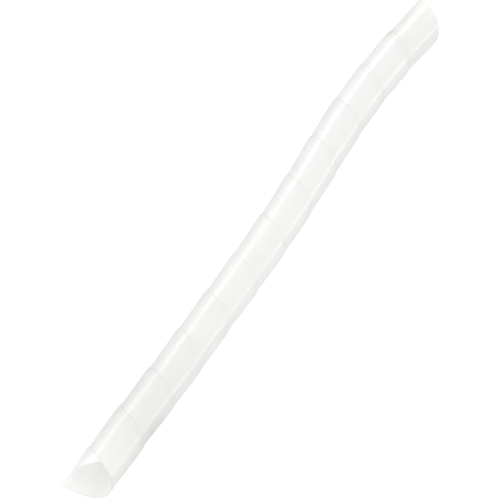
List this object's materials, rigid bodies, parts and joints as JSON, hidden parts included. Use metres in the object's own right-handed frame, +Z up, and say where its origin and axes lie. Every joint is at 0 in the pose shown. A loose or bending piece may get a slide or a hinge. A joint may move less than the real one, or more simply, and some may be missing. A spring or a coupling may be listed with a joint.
{
  "type": "tree guard tube",
  "caption": "Spiral tree guard: a strip of flexible white plastic coiled into a lapped tube that winds round a young tree's trunk.",
  "frame": {"origin": "centre of the tube's box at the level of the surface that it lies on", "axes": "+X along the tube from its base end to its top end, +Z up from the surface, +Y to the side that the tube bows towards"},
  "size_m": [0.6068, 0.0526, 0.0418],
  "materials": {
    "guard_plastic": "milky white, slightly translucent, satin to gloss"
  },
  "bodies": {
    "turn_01": {"turn_01": "guard_plastic"},
    "turn_02": {"turn_02": "guard_plastic"},
    "turn_03": {"turn_03": "guard_plastic"},
    "turn_04": {"turn_04": "guard_plastic"},
    "turn_05": {"turn_05": "guard_plastic"},
    "turn_06": {"turn_06": "guard_plastic"},
    "turn_07": {"turn_07": "guard_plastic"},
    "turn_08": {"turn_08": "guard_plastic"},
    "turn_09": {"turn_09": "guard_plastic"},
    "turn_10": {"turn_10": "guard_plastic"},
    "turn_11": {"turn_11": "guard_plastic"},
    "turn_12": {"turn_12": "guard_plastic"}
  },
  "joints": [
    {"name": "bend_sideways_01_02", "type": "hinge", "parent": "turn_01", "child": "turn_02", "pos_m": [-0.23248, -0.00539, 0.0209], "axis": [0, 0, 1], "range_deg": [-2, 2], "stiffness_Nm_per_rad": 4},
    {"name": "bend_up_02_03", "type": "hinge", "parent": "turn_02", "child": "turn_03", "pos_m": [-0.18568, -0.00539, 0.0209], "axis": [0.0001, -1, 0], "range_deg": [-2, 2], "stiffness_Nm_per_rad": 4},
    {"name": "stretch_03_04", "type": "slide", "parent": "turn_03", "child": "turn_04", "axis": [1, 0.0005, 0], "range_m": [-0.003, 0.009], "stiffness_N_per_m": 300},
    {"name": "bend_sideways_04_05", "type": "hinge", "parent": "turn_04", "child": "turn_05", "pos_m": [-0.09208, -0.00532, 0.0209], "axis": [0, 0, 1], "range_deg": [-2, 2], "stiffness_Nm_per_rad": 4},
    {"name": "bend_up_05_06", "type": "hinge", "parent": "turn_05", "child": "turn_06", "pos_m": [-0.04528, -0.00504, 0.0209], "axis": [0.0109, -0.9999, 0], "range_deg": [-2, 2], "stiffness_Nm_per_rad": 4},
    {"name": "stretch_06_07", "type": "slide", "parent": "turn_06", "child": "turn_07", "axis": [0.9995, 0.0314, 0], "range_m": [-0.003, 0.009], "stiffness_N_per_m": 300},
    {"name": "bend_sideways_07_08", "type": "hinge", "parent": "turn_07", "child": "turn_08", "pos_m": [0.04832, -0.00193, 0.0209], "axis": [0, 0, 1], "range_deg": [-2, 2], "stiffness_Nm_per_rad": 4},
    {"name": "bend_up_08_09", "type": "hinge", "parent": "turn_08", "child": "turn_09", "pos_m": [0.09512, 0.00149, 0.0209], "axis": [0.0783, -0.9969, 0], "range_deg": [-2, 2], "stiffness_Nm_per_rad": 4},
    {"name": "stretch_09_10", "type": "slide", "parent": "turn_09", "child": "turn_10", "axis": [0.9988, 0.0494, 0], "range_m": [-0.003, 0.009], "stiffness_N_per_m": 300},
    {"name": "bend_sideways_10_11", "type": "hinge", "parent": "turn_10", "child": "turn_11", "pos_m": [0.18872, 0.00551, 0.0209], "axis": [0, 0, 1], "range_deg": [-2, 2], "stiffness_Nm_per_rad": 4},
    {"name": "bend_up_11_12", "type": "hinge", "parent": "turn_11", "child": "turn_12", "pos_m": [0.23552, 0.0033, 0.0209], "axis": [-0.0701, -0.9975, 0], "range_deg": [-2, 2], "stiffness_Nm_per_rad": 4}
  ],
  "couplings": [
    {"joint": "stretch_06_07", "follows": "stretch_03_04", "ratio": 1},
    {"joint": "stretch_09_10", "follows": "stretch_03_04", "ratio": 1}
  ]
}
